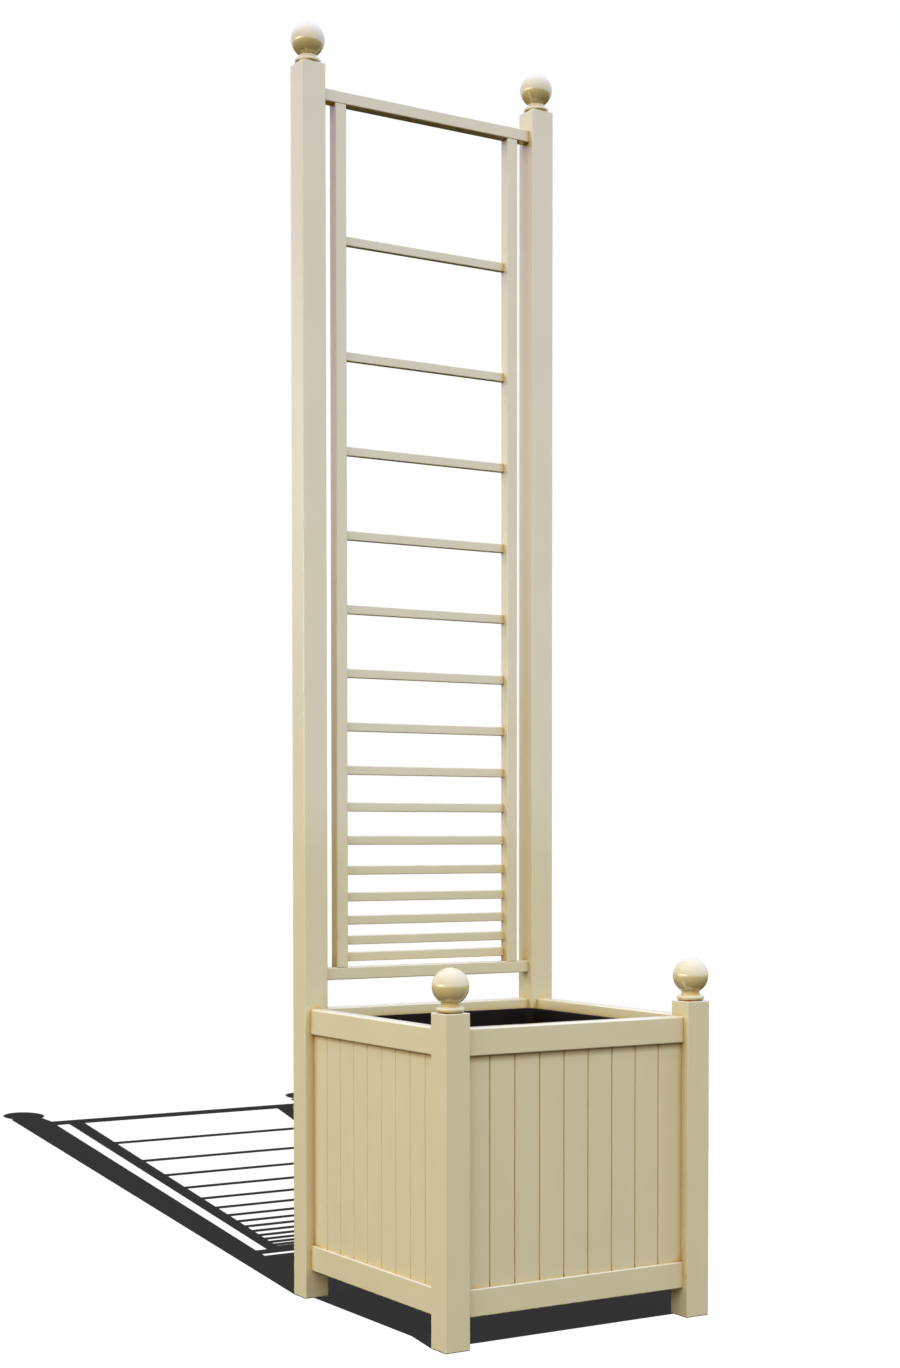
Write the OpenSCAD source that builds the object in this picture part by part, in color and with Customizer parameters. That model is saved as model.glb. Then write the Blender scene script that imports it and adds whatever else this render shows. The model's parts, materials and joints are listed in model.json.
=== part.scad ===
// Square planter box with a ladder trellis between its two tall back posts.
// Painted timber: a mortised frame, tongued and V-jointed boards, turned ball
// finials, a slatted floor, and a loose plastic liner that lifts out.
// The front is -Y, the trellis stands at +Y, and the floor is z = 0.

/* [Overall] */
// Outside width over the posts, left to right
planter_w = 500; // [400:1:720]
// Outside depth over the posts, front to back
planter_d = 500; // [400:1:720]
// Height of the two front posts, without their finials
front_post_h = 513; // [420:1:640]
// Height of the two back posts, without their finials
back_post_h = 2064; // [1700:1:2500]

/* [Posts] */
// Side of the square posts
post_w = 44; // [36:0.1:56]
// Width of the eased edges of posts, bars and rails
arris = 1.4; // [0.6:0.1:2.4]

/* [Rails] */
// Height of the top and bottom rails of the box
rail_h = 43; // [35:0.1:54]
// Thickness of the rails, which lie in the middle of the posts
rail_t = 22; // [18:0.1:27]
// Eased upper edges of the top rails
rail_arris = 2.4; // [1:0.1:3]
// Drop from the top of the front posts to the top of the rails
rail_drop = 24; // [12:1:40]
// Clear height under the bottom rails
ground_gap = 47; // [30:1:80]

/* [Boards] */
// Boards in each side
board_count = 9; // [6:1:12]
// Thickness of the boards
board_t = 10; // [8:0.1:12]
// Width of the bevel on each edge of a board's face
bevel_w = 1.5; // [0.8:0.1:2.5]
// Depth of that bevel
bevel_d = 2.2; // [1:0.1:2.6]
// How far a tongue stands out
tongue_l = 5; // [3:0.1:7]
// Thickness of a tongue
tongue_t = 3.4; // [2.4:0.1:4]
// Depth of the grooves in the rails that house the boards
rail_groove = 8; // [5:0.1:10]
// Depth of the grooves in the posts that house the end boards
post_groove = 5; // [3:0.1:7]

/* [Joinery] */
// Thickness of the tenons in the posts
tenon_t = 8; // [6:0.1:10]
// Wood left between two tenons that meet inside a post
tenon_web = 2; // [1:0.1:3]
// Shoulder above and below a tenon
shoulder = 4; // [2:0.1:6]
// Length of the stub tenons in the trellis
stub_l = 8; // [5:0.1:10]
// Shoulder all round a stub tenon
stub_shoulder = 2.5; // [1.5:0.1:3.5]
// Clearance on each side of a tenon, tongue or board in its groove
fit = 0.15; // [0.1:0.05:0.3]

/* [Trellis] */
// Height of the top and bottom bars
bar_h = 21; // [17:0.1:26]
// Thickness of bars and stiles, front to back
bar_t = 22; // [18:0.1:27]
// Drop from the top of the back posts to the top bar
bar_drop = 36; // [20:1:60]
// Clear height from the top rails to the bottom bar
trellis_lift = 46.5; // [25:0.5:80]
// Width of the stiles
stile_w = 21; // [17:0.1:26]
// Gap between a stile and its post
stile_gap = 24; // [12:0.1:30]
// Height of a rung
rung_h = 15.5; // [12:0.1:19]
// Thickness of a rung, which is flush with the back of the stiles
rung_t = 10; // [8:0.1:12]
// Gap between the bottom bar and the lowest rung
first_gap = 9; // [6:0.1:14]
// Gap between the highest rung and the top bar
last_gap = 215; // [120:1:260]

/* [Finials] */
// Diameter of the ball
ball_d = 57; // [46:0.1:70]
// Height of the ball's centre above the post
ball_rise = 40; // [33:0.1:48]
// Diameter of the base bead
bead_d = 44; // [38:0.1:52]
// Height of the base bead
bead_h = 9.4; // [7:0.1:11]
// Diameter of the collar on the bead
collar_d = 30; // [25:0.1:34]
// Height of the collar on the bead
collar_h = 2.8; // [1.5:0.1:4]
// Diameter of the neck under the ball
neck_d = 28; // [23:0.1:32]
// Radius of the cove between neck and ball
cove_r = 2.5; // [1.5:0.1:4]
// Diameter of the screw between finial and post
dowel_d = 8; // [6:0.1:10]
// Length of that screw, half of it in each
dowel_l = 56; // [40:1:64]

/* [Liner] */
// Gap from the liner's rim to the rails around it
liner_gap = 10.2; // [8:0.1:20]
// Drop from the top of the rails to the rim
liner_drop = 16.5; // [5:0.5:60]
// Wall of the liner
liner_wall = 3; // [2:0.1:5]
// Radius of the rim's corners
liner_corner = 22; // [16:0.5:40]
// How far the rim stands out from the wall
rim_out = 3.6; // [2:0.1:6]
// Height of the rim
rim_h = 7; // [4:0.1:12]
// How much smaller the foot is than the top, on each side
liner_draft = 6; // [2:0.5:12]
// Diameter of a drain hole
drain_d = 12; // [8:0.1:16]

/* [Floor] */
// Height of the bearers on the bottom rails
bearer_h = 25; // [20:0.1:32]
// Width of the bearers
bearer_w = 22; // [18:0.1:28]
// Number of floor slats
slat_count = 5; // [3:1:5]
// Width of a slat
slat_w = 66; // [50:0.1:72]
// Thickness of a slat
slat_t = 12; // [9:0.1:15]
// Diameter of the wood screws
screw_d = 4; // [3:0.1:5]
// Length of the bearer screws under the head
bearer_screw_l = 34; // [30:0.5:38]
// Length of the slat screws under the head
slat_screw_l = 26; // [20:0.5:30]

/* [Hidden] */
$fn = 64;

paint = "#ddd3b3";
bare_wood = "#c9a878";
black_plastic = "#1b1b1b";
zinc = "#b9bcc0";

// Corners and sides are counted anticlockwise from above. Side 0 is the front,
// and corner 0 is the front left one, where sides 0 and 3 meet.
clear_w = planter_w - 2 * post_w;
clear_d = planter_d - 2 * post_w;
post_x = (planter_w - post_w) / 2;
post_y = (planter_d - post_w) / 2;
function span(side) = side % 2 == 0 ? clear_w : clear_d;
function reach(side) = side % 2 == 0 ? post_y : post_x;
function corner_x(corner) = (corner == 0 || corner == 3 ? -1 : 1) * post_x;
function corner_y(corner) = (corner < 2 ? -1 : 1) * post_y;
function post_h(corner) = corner < 2 ? front_post_h : back_post_h;

rail_top = front_post_h - rail_drop;
top_rail_z = rail_top - rail_h;
bottom_rail_z = ground_gap;
tenon_l = (post_w - tenon_t) / 2 - tenon_web;
// A rail's tenon keeps clear of the groove for the boards.
rail_tenon_h = rail_h - rail_groove - 2 * shoulder;
top_tenon_z = top_rail_z + rail_groove + shoulder;
bottom_tenon_z = bottom_rail_z + shoulder;

board_foot = bottom_rail_z + rail_h - rail_groove;
board_head_gap = 1;
board_head = top_rail_z + rail_groove - board_head_gap;
board_split = 0.3;

bar_tenon_h = bar_h - 2 * shoulder;
top_bar_z = back_post_h - bar_drop - bar_h;
bottom_bar_z = rail_top + trellis_lift;
ladder_foot = bottom_bar_z + bar_h;
ladder_h = top_bar_z - ladder_foot;
stile_x = clear_w / 2 - stile_gap - stile_w / 2;
rung_span = 2 * stile_x - stile_w;
rung_y = post_y + (bar_t - rung_t) / 2;
// The rungs open out from bottom to top: each pitch is this many equal steps.
rung_steps = [5, 6, 7, 8, 9, 10, 11, 13, 16, 19, 22, 25, 28, 34];
function steps_below(rung) = rung < 2 ? 0 : rung_steps[rung - 2] + steps_below(rung - 1);
rung_count = len(rung_steps) + 1;
rung_step = (ladder_h - first_gap - last_gap - rung_h) / steps_below(rung_count);
function rung_z(rung) = ladder_foot + first_gap + rung_step * steps_below(rung);

bearer_z = bottom_rail_z + rail_h - 5 - bearer_h;
bearer_end_gap = 0.5;
bearer_y = post_y - rail_t / 2 - bearer_w / 2;
slat_z = bearer_z + bearer_h;
slat_end_gap = 2;
slat_l = 2 * post_y - rail_t - 2 * slat_end_gap;
slat_side_gap = 8;
slat_pitch = (clear_w - 2 * slat_side_gap - slat_w) / (slat_count - 1);
function slat_x(slat) = (slat - (slat_count + 1) / 2) * slat_pitch;
slat_screw_x = slat_w / 4;
head_d = 2 * screw_d;
head_h = 0.6 * screw_d;
head_sink = head_h + 0.4;
bearer_screw_xs = [for (k = [-1:1]) k * slat_pitch * (slat_count % 2 == 0 ? 1 : 1.5)];

liner_z = slat_z + slat_t;
liner_h = rail_top - liner_drop - liner_z;
rim_w = clear_w + post_w - rail_t - 2 * liner_gap;
rim_d = clear_d + post_w - rail_t - 2 * liner_gap;

// Outline with bevelled corners, centred in x, standing on y = 0.
module eased_outline(w, h, low, high) {
    polygon([
        [low - w / 2, 0], [w / 2 - low, 0], [w / 2, low], [w / 2, h - high],
        [w / 2 - high, h], [high - w / 2, h], [-w / 2, h - high], [-w / 2, low]
    ]);
}

// Upright bar centred on z, with its four long edges eased.
module upright(w, t, h, ease) {
    translate([0, -t / 2, 0])
        linear_extrude(h)
            eased_outline(w, t, ease, ease);
}

// Level bar along x, centred on it, with its four long edges eased.
module level_bar(l, t, h, low, high) {
    translate([-l / 2, 0, 0])
        rotate([90, 0, 90])
            linear_extrude(l)
                eased_outline(t, h, low, high);
}

// Block centred in x and y that stands on z = 0, for tenons and their mortises.
module block(l, t, h) {
    translate([-l / 2, -t / 2, 0])
        cube([l, t, h]);
}

// Puts what is drawn as the front side, centred in x, on any of the four sides.
module on_side(side) {
    rotate([0, 0, 90 * side])
        translate([0, -reach(side), 0])
            children();
}

// The mortises and board grooves that one side cuts in the posts at its ends.
module side_housings(side) {
    on_side(side) {
        for (z = [top_tenon_z, bottom_tenon_z])
            translate([0, 0, z - fit])
                block(span(side) + 2 * (tenon_l + fit), tenon_t + 2 * fit, rail_tenon_h + 2 * fit);
        translate([0, 0, board_foot])
            block(span(side) + 2 * (post_groove + fit), board_t + 2 * fit,
                top_rail_z + rail_groove - board_foot);
    }
}

// The mortises that the trellis bars cut in the two back posts.
module bar_housings() {
    for (z = [top_bar_z, bottom_bar_z])
        translate([0, post_y, z + shoulder - fit])
            block(clear_w + 2 * (tenon_l + fit), tenon_t + 2 * fit, bar_tenon_h + 2 * fit);
}

// A square post, eased all round, mortised for its rails and bored for its finial.
module post(corner) {
    h = post_h(corner);
    color(paint)
        difference() {
            translate([corner_x(corner), corner_y(corner), 0])
                difference() {
                    intersection() {
                        upright(post_w, post_w, h, arris);
                        level_bar(post_w, post_w, h, arris, arris);
                        rotate([0, 0, 90])
                            level_bar(post_w, post_w, h, arris, arris);
                    }
                    translate([0, 0, h - dowel_l / 2 - fit])
                        cylinder(d = dowel_d + 2 * fit, h = dowel_l);
                }
            side_housings(corner);
            side_housings((corner + 3) % 4);
            if (corner > 1)
                bar_housings();
        }
}

// Half the turned outline: bead, collar, neck with its cove, and ball.
module finial_outline() {
    bead_r = bead_h / 2;
    bead_x = bead_d / 2 - bead_r;
    neck_r = neck_d / 2;
    ball_r = ball_d / 2;
    cove_x = neck_r + cove_r;
    cove_z = ball_rise - sqrt((ball_r + cove_r) ^ 2 - cove_x ^ 2);
    meet = ball_r / (ball_r + cove_r);
    intersection() {
        union() {
            square([bead_x, bead_h]);
            translate([bead_x, bead_r])
                circle(r = bead_r);
            square([collar_d / 2, bead_h + collar_h]);
            difference() {
                square([cove_x * meet, ball_rise + (cove_z - ball_rise) * meet]);
                translate([cove_x, cove_z])
                    circle(r = cove_r);
                translate([neck_r, bead_h + collar_h])
                    square([cove_x, cove_z - bead_h - collar_h]);
            }
            translate([0, ball_rise])
                circle(r = ball_r);
        }
        square([bead_d + ball_d, ball_rise + ball_d]);
    }
}

// A turned ball finial, bored from below for its screw.
module finial(corner) {
    color(paint)
        translate([corner_x(corner), corner_y(corner), post_h(corner)])
            rotate_extrude($fn = 96)
                difference() {
                    finial_outline();
                    square([dowel_d / 2 + fit, dowel_l / 2 + fit]);
                }
}

// The four steel screws, half in the post and half in the finial.
module finial_dowels() {
    color(zinc)
        for (corner = [0:3])
            translate([corner_x(corner), corner_y(corner), post_h(corner) - dowel_l / 2])
                cylinder(d = dowel_d, h = dowel_l);
}

// A rail with a tenon at each end. The groove for the boards is cut by the caller.
module rail_blank(side, z, tenon_z, low, high) {
    translate([0, 0, z])
        level_bar(span(side), rail_t, rail_h, low, high);
    translate([0, 0, tenon_z])
        block(span(side) + 2 * tenon_l, tenon_t, rail_tenon_h);
}

module top_rail(side) {
    color(paint)
        on_side(side)
            difference() {
                rail_blank(side, top_rail_z, top_tenon_z, arris, rail_arris);
                translate([0, 0, top_rail_z - 1])
                    block(span(side) + 2, board_t + 2 * fit, rail_groove + 1);
            }
}

module bottom_rail(side) {
    color(paint)
        difference() {
            on_side(side)
                difference() {
                    rail_blank(side, bottom_rail_z, bottom_tenon_z, arris, arris);
                    translate([0, 0, board_foot])
                        block(span(side) + 2, board_t + 2 * fit, rail_groove + 1);
                }
            if (side % 2 == 0)
                bearer_screw_places(side)
                    screw_hole(bearer_screw_l);
        }
}

// One board's section: a groove on its left edge, a tongue on its right edge,
// and a bevel on the outer corner of both. The end boards have a plain edge
// on the side of the post that houses them.
module board_section(side, k) {
    pitch = span(side) / board_count;
    first = k == 0;
    last = k == board_count - 1;
    left = first ? -span(side) / 2 - post_groove : -span(side) / 2 + k * pitch + board_split / 2;
    right = last ? span(side) / 2 + post_groove : -span(side) / 2 + (k + 1) * pitch - board_split / 2;
    outer = -board_t / 2;
    inner = board_t / 2;
    slot_y = tongue_t / 2 + fit;
    slot_x = left + tongue_l + fit;
    plain_left = [[left, inner], [left, outer]];
    plain_right = [[right, outer], [right, inner]];
    grooved_left = [
        [left, inner], [left, slot_y], [slot_x, slot_y], [slot_x, -slot_y],
        [left, -slot_y], [left, outer + bevel_d], [left + bevel_w, outer]
    ];
    tongued_right = [
        [right - bevel_w, outer], [right, outer + bevel_d],
        [right, -tongue_t / 2], [right + tongue_l, -tongue_t / 2],
        [right + tongue_l, tongue_t / 2], [right, tongue_t / 2], [right, inner]
    ];
    polygon(concat(last ? plain_right : tongued_right, first ? plain_left : grooved_left));
}

module boards(side) {
    color(paint)
        on_side(side)
            for (k = [0:board_count - 1])
                translate([0, 0, board_foot])
                    linear_extrude(board_head - board_foot)
                        board_section(side, k);
}

// Stub tenons of a stile, or their mortises when grown by the clearance.
module stile_stubs(hand, grow) {
    translate([hand * stile_x, post_y, ladder_foot - stub_l - grow])
        block(stile_w - 2 * stub_shoulder + 2 * grow, bar_t - 2 * stub_shoulder - 2 + 2 * grow,
            ladder_h + 2 * (stub_l + grow));
}

// Stub tenons of a rung, or their mortises when grown by the clearance.
module rung_stubs(rung, grow) {
    translate([0, rung_y, rung_z(rung) + stub_shoulder - grow])
        block(rung_span + 2 * (stub_l + grow), rung_t - 2 * stub_shoulder + 2 * grow,
            rung_h - 2 * stub_shoulder + 2 * grow);
}

module trellis_bar(z) {
    color(paint)
        difference() {
            union() {
                translate([0, post_y, z])
                    level_bar(clear_w, bar_t, bar_h, arris, arris);
                translate([0, post_y, z + shoulder])
                    block(clear_w + 2 * tenon_l, tenon_t, bar_tenon_h);
            }
            for (hand = [-1, 1])
                stile_stubs(hand, fit);
        }
}

module trellis_stile(hand) {
    color(paint)
        difference() {
            union() {
                translate([hand * stile_x, post_y, ladder_foot])
                    upright(stile_w, bar_t, ladder_h, arris);
                stile_stubs(hand, 0);
            }
            for (rung = [1:rung_count])
                rung_stubs(rung, fit);
        }
}

module rung(rung) {
    color(paint) {
        translate([0, rung_y, rung_z(rung)])
            level_bar(rung_span, rung_t, rung_h, 1, 1);
        rung_stubs(rung, 0);
    }
}

// One pan-head screw that points down, its head's underside at z = 0.
module screw(l) {
    translate([0, 0, -l])
        cylinder(d = screw_d, h = l + head_h / 2);
    cylinder(d = head_d, h = head_h);
}

// The hole for such a screw, with the clearance all round.
module screw_hole(l) {
    translate([0, 0, -l - fit])
        cylinder(d = screw_d + 2 * fit, h = l + 2 * fit);
}

// The places of the screws through one bearer, which point out to the rail.
module bearer_screw_places(side) {
    on_side(side)
        for (x = bearer_screw_xs)
            translate([x, rail_t / 2 + bearer_w, bearer_z + bearer_h / 2])
                rotate([-90, 0, 0])
                    children();
}

module bearer(side) {
    color(bare_wood)
        difference() {
            on_side(side)
                translate([0, (rail_t + bearer_w) / 2, bearer_z])
                    block(clear_w - 2 * bearer_end_gap, bearer_w, bearer_h);
            bearer_screw_places(side)
                screw_hole(bearer_screw_l);
            for (slat = [1:slat_count])
                slat_screw_places(slat)
                    screw_hole(slat_screw_l);
        }
}

module bearer_screws() {
    color(zinc)
        for (side = [0, 2])
            bearer_screw_places(side)
                screw(bearer_screw_l);
}

// The four places where one slat is screwed down, at the underside of the heads.
module slat_screw_places(slat) {
    for (x = [-1, 1], y = [-1, 1])
        translate([slat_x(slat) + x * slat_screw_x, y * bearer_y, slat_z + slat_t - head_sink])
            children();
}

module floor_slat(slat) {
    color(bare_wood)
        difference() {
            translate([slat_x(slat), 0, slat_z])
                rotate([0, 0, 90])
                    level_bar(slat_l, slat_w, slat_t, arris, arris);
            slat_screw_places(slat) {
                cylinder(d = head_d + 2 * fit, h = 2 * head_sink);
                screw_hole(slat_screw_l);
            }
        }
}

module slat_screws() {
    color(zinc)
        for (slat = [1:slat_count])
            slat_screw_places(slat)
                screw(slat_screw_l);
}

// A flat plate with round corners, used for the liner's outlines.
module round_plate(w, d, r, h) {
    linear_extrude(h) {
        square([w - 2 * r, d], center = true);
        square([w, d - 2 * r], center = true);
        for (x = [-1, 1], y = [-1, 1])
            translate([x * (w / 2 - r), y * (d / 2 - r)])
                circle(r = r);
    }
}

// A drafted tub outline: the foot plate and the top plate, joined.
module tub(inset, foot, r) {
    skin = 0.2;
    hull() {
        translate([0, 0, foot])
            round_plate(rim_w - 2 * (inset + liner_draft), rim_d - 2 * (inset + liner_draft), r, skin, $fn = 32);
        translate([0, 0, liner_h - skin])
            round_plate(rim_w - 2 * inset, rim_d - 2 * inset, r, skin, $fn = 32);
    }
}

// The liner: a drafted tub with a rim, open on top, with drain holes in its floor.
module planter_liner() {
    drain_x = rim_w / 4;
    drain_y = rim_d / 4;
    color(black_plastic)
        translate([0, 0, liner_z])
            difference() {
                union() {
                    tub(rim_out, 0, liner_corner - rim_out);
                    translate([0, 0, liner_h - rim_h])
                        round_plate(rim_w, rim_d, liner_corner, rim_h);
                }
                tub(rim_out + liner_wall, liner_wall, liner_corner - rim_out - liner_wall);
                translate([0, 0, liner_h - 1])
                    round_plate(rim_w - 2 * (rim_out + liner_wall), rim_d - 2 * (rim_out + liner_wall),
                        liner_corner - rim_out - liner_wall, 2);
                for (x = [-1, 1], y = [-1, 1])
                    translate([x * drain_x, y * drain_y, -1])
                        cylinder(d = drain_d, h = liner_wall + 2);
                translate([0, 0, -1])
                    cylinder(d = drain_d, h = liner_wall + 2);
            }
}

post(0);  // front_left_post
post(1);  // front_right_post
post(2);  // back_right_post
post(3);  // back_left_post
finial(0);  // front_left_finial
finial(1);  // front_right_finial
finial(2);  // back_right_finial
finial(3);  // back_left_finial
finial_dowels();
top_rail(0);  // front_top_rail
top_rail(1);  // right_top_rail
top_rail(2);  // back_top_rail
top_rail(3);  // left_top_rail
bottom_rail(0);  // front_bottom_rail
bottom_rail(1);  // right_bottom_rail
bottom_rail(2);  // back_bottom_rail
bottom_rail(3);  // left_bottom_rail
boards(0);  // front_boards
boards(1);  // right_boards
boards(2);  // back_boards
boards(3);  // left_boards
trellis_bar(top_bar_z);  // trellis_top_bar
trellis_bar(bottom_bar_z);  // trellis_bottom_bar
trellis_stile(-1);  // trellis_left_stile
trellis_stile(1);  // trellis_right_stile
rung(1);  // rung_01
rung(2);  // rung_02
rung(3);  // rung_03
rung(4);  // rung_04
rung(5);  // rung_05
rung(6);  // rung_06
rung(7);  // rung_07
rung(8);  // rung_08
rung(9);  // rung_09
rung(10);  // rung_10
rung(11);  // rung_11
rung(12);  // rung_12
rung(13);  // rung_13
rung(14);  // rung_14
rung(15);  // rung_15
bearer(0);  // front_bearer
bearer(2);  // back_bearer
bearer_screws();
floor_slat(1);  // floor_slat_1
floor_slat(2);  // floor_slat_2
floor_slat(3);  // floor_slat_3
floor_slat(4);  // floor_slat_4
floor_slat(5);  // floor_slat_5
slat_screws();
planter_liner();
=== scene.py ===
import json
import math
import bmesh
import bpy
from mathutils import Matrix, Vector

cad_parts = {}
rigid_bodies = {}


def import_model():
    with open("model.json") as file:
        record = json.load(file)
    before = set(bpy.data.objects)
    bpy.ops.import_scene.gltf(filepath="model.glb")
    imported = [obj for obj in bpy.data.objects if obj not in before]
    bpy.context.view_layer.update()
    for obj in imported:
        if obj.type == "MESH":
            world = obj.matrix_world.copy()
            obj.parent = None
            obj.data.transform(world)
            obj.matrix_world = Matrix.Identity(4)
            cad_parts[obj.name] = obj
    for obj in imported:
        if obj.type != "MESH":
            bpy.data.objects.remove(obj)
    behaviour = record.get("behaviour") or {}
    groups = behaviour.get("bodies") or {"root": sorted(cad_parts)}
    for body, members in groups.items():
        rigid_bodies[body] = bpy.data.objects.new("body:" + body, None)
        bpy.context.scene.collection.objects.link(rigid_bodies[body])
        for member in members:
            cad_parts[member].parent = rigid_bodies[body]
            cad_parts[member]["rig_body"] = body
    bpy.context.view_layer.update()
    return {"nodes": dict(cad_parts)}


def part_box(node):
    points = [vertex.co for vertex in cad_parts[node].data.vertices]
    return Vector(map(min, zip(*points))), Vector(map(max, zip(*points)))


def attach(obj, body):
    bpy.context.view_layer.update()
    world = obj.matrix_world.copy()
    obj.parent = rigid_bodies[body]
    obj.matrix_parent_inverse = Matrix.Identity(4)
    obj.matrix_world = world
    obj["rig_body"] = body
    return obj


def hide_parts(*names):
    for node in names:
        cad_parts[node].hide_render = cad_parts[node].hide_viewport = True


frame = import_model()
mm = 0.001

# Posts: four square softwood posts, planed, eased along every arris and painted. The two back
# ones run on up as the sides of the trellis, and all four are the feet. The paint is a cream
# exterior enamel, sprayed on: it all but hides the grain. Painted shade deepens its colour in
# corners and crevices, golden and then brown.
touching = 0.001 * mm
cream, cream_shade = "#d9cda9", "#d2c6a0"
# Painted shade: where ambient occlusion within that reach finds a corner, the cream turns golden, and
# in a crevice, brown.
cream_corner_shade, corner_shade_open = "#dbba60", (0.85, 0.32)
cream_crevice_shade, crevice_shade_open = "#a47422", (0.56, 0.3)
corner_shade_mm = 32


def linear(colour):
    """The linear RGBA of an sRGB hex colour."""
    parts = [int(colour[i : i + 2], 16) / 255 for i in (1, 3, 5)]
    return [c / 12.92 if c <= 0.04045 else ((c + 0.055) / 1.055) ** 2.4 for c in parts] + [1.0]


def add_node(tree, kind, inputs=(), **settings):
    """Adds a node with its settings. Each input is a value, or the socket that feeds it."""
    node = tree.nodes.new(kind)
    for name, value in settings.items():
        setattr(node, name, value)
    for socket, value in dict(inputs).items():
        if isinstance(value, bpy.types.NodeSocket):
            tree.links.new(value, node.inputs[socket])
        else:
            node.inputs[socket].default_value = value
    return node


def new_material(name):
    """An empty material, its node tree and its output node."""
    material = bpy.data.materials.new(name)
    material.use_nodes = True
    tree = material.node_tree
    tree.nodes.clear()
    return material, tree, add_node(tree, "ShaderNodeOutputMaterial")


def painted_corner_shade(tree, tone, reach_mm):
    """A paint colour with painted shade in it: golden in corners and brown in crevices, within that
    reach.
    """
    near = add_node(tree, "ShaderNodeAmbientOcclusion", {"Distance": reach_mm * mm}, samples=6)
    for shade_colour, (start, end) in ((cream_corner_shade, corner_shade_open), (cream_crevice_shade, crevice_shade_open)):
        shade_share = add_node(tree, "ShaderNodeMapRange",
                        {"Value": near.outputs["AO"], "From Min": start, "From Max": end})
        tone = add_node(tree, "ShaderNodeMix", {0: shade_share.outputs[0], 6: tone, 7: linear(shade_colour)},
                        data_type="RGBA").outputs[2]
    return tone


def sprayed_enamel(name, along, rail_shaded=None):
    """Gloss enamel sprayed over planed softwood, whose grain runs along that axis.

    The eye gets an even cream under a clear gloss that mirrors the sky, with a faint
    cloudiness, a fine orange-peel skin and, under a low light, the raised lines of the
    grain, about 3 mm apart. The skin is drawn coarser than real, so that it shows.
    Where a function is given last, it paints shade into the colour in one place."""
    cloud_mm, grain_mm, skin_mm, stretch = 90, 3.2, 1.1, 28
    material, tree, output = new_material(name)
    place = add_node(tree, "ShaderNodeTexCoord").outputs["Object"]
    run = [1.0, 1.0, 1.0]
    run[along] = 1 / stretch
    drawn = add_node(tree, "ShaderNodeMapping", {"Vector": place, "Scale": run})
    cloud = add_node(tree, "ShaderNodeTexNoise",
                     {"Vector": place, "Scale": 1 / (cloud_mm * mm), "Detail": 2.0})
    grain = add_node(tree, "ShaderNodeTexNoise",
                     {"Vector": drawn.outputs[0], "Scale": 1 / (grain_mm * mm), "Detail": 3.0})
    skin = add_node(tree, "ShaderNodeTexNoise",
                    {"Vector": place, "Scale": 1 / (skin_mm * mm), "Detail": 1.0})
    tone = add_node(tree, "ShaderNodeMix",
                    {0: cloud.outputs[0], 6: linear(cream), 7: linear(cream_shade)},
                    data_type="RGBA")
    # Painted shade in the corners and crevices.
    colour = painted_corner_shade(tree, tone.outputs[2], corner_shade_mm)
    # Painted shade in one place more, where a function for it is given.
    if rail_shaded:
        colour = rail_shaded(tree, place, colour)
    dull = add_node(tree, "ShaderNodeMapRange",
                    {"Value": skin.outputs[0], "To Min": 0.28, "To Max": 0.40})
    raised = add_node(tree, "ShaderNodeBump",
                      {"Height": grain.outputs[0], "Strength": 0.35, "Distance": 0.06 * mm})
    peel = add_node(tree, "ShaderNodeBump",
                    {"Height": skin.outputs[0], "Normal": raised.outputs[0], "Strength": 0.30,
                     "Distance": 0.03 * mm})
    film = add_node(tree, "ShaderNodeBsdfPrincipled",
                    {"Base Color": colour, "Roughness": dull.outputs[0],
                     "Normal": peel.outputs[0], "IOR": 1.5, "Coat Weight": 1.0,
                     "Coat Roughness": 0.07, "Coat IOR": 1.7, "Coat Normal": peel.outputs[0]})
    tree.links.new(film.outputs[0], output.inputs[0])
    return material


def merged_copy(node):
    """A bmesh of a CAD node, its loose triangles merged and its flat faces whole."""
    shape = bmesh.new()
    shape.from_mesh(frame["nodes"][node].data)
    bmesh.ops.remove_doubles(shape, verts=shape.verts, dist=touching)
    flat_within = math.radians(0.5)
    bmesh.ops.dissolve_limit(shape, angle_limit=flat_within, verts=shape.verts, edges=shape.edges)
    return shape


def eased(node, material, round_off=0.45, turn=(35, 60)):
    """A merged copy of a timber piece, its long arrises rounded as sanding leaves them.

    The arrises are the long convex edges that turn by an angle between those two degrees."""
    shortest = 15 * mm
    shape = merged_copy(node)
    arrises = [
        edge for edge in shape.edges
        if edge.is_convex and edge.calc_length() > shortest
        and math.radians(turn[0]) < edge.calc_face_angle(0) < math.radians(turn[1])
    ]
    bmesh.ops.bevel(shape, geom=arrises, offset=round_off * mm, offset_type="OFFSET", segments=2,
                    profile=0.5, affect="EDGES", clamp_overlap=True, material=-1)
    return finish_piece("eased_" + node, shape, material, node)


def finish_piece(name, shape, material, node, crease=34):
    """Turns a bmesh into the piece that stands for a node, smooth below the crease angle."""
    for face in shape.faces:
        face.smooth = True
    for edge in shape.edges:
        edge.smooth = edge.calc_face_angle(math.pi) < math.radians(crease)
    mesh = bpy.data.meshes.new(name)
    shape.to_mesh(mesh)
    shape.free()
    piece = bpy.data.objects.new(name, mesh)
    bpy.context.scene.collection.objects.link(piece)
    mesh.materials.append(material)
    level = piece.modifiers.new("even_normals", "WEIGHTED_NORMAL")
    level.keep_sharp = True
    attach(piece, frame["nodes"][node]["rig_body"])
    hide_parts(node)
    return piece


upright_enamel = sprayed_enamel("cream enamel, grain upright", 2)
for corner in ("front_left", "front_right", "back_right", "back_left"):
    eased(corner + "_post", upright_enamel)

# Rails: four top and four bottom rails, tenoned into the posts, painted with them.
# Their grain runs level, along x in front and behind and along y at the sides.
level_enamel = {
    "x": sprayed_enamel("cream enamel, grain along x", 0),
    "y": sprayed_enamel("cream enamel, grain along y", 1),
}
for height in ("top", "bottom"):
    for side, along in (("front", "x"), ("right", "y"), ("back", "x"), ("left", "y")):
        eased(f"{side}_{height}_rail", level_enamel[along])
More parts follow.
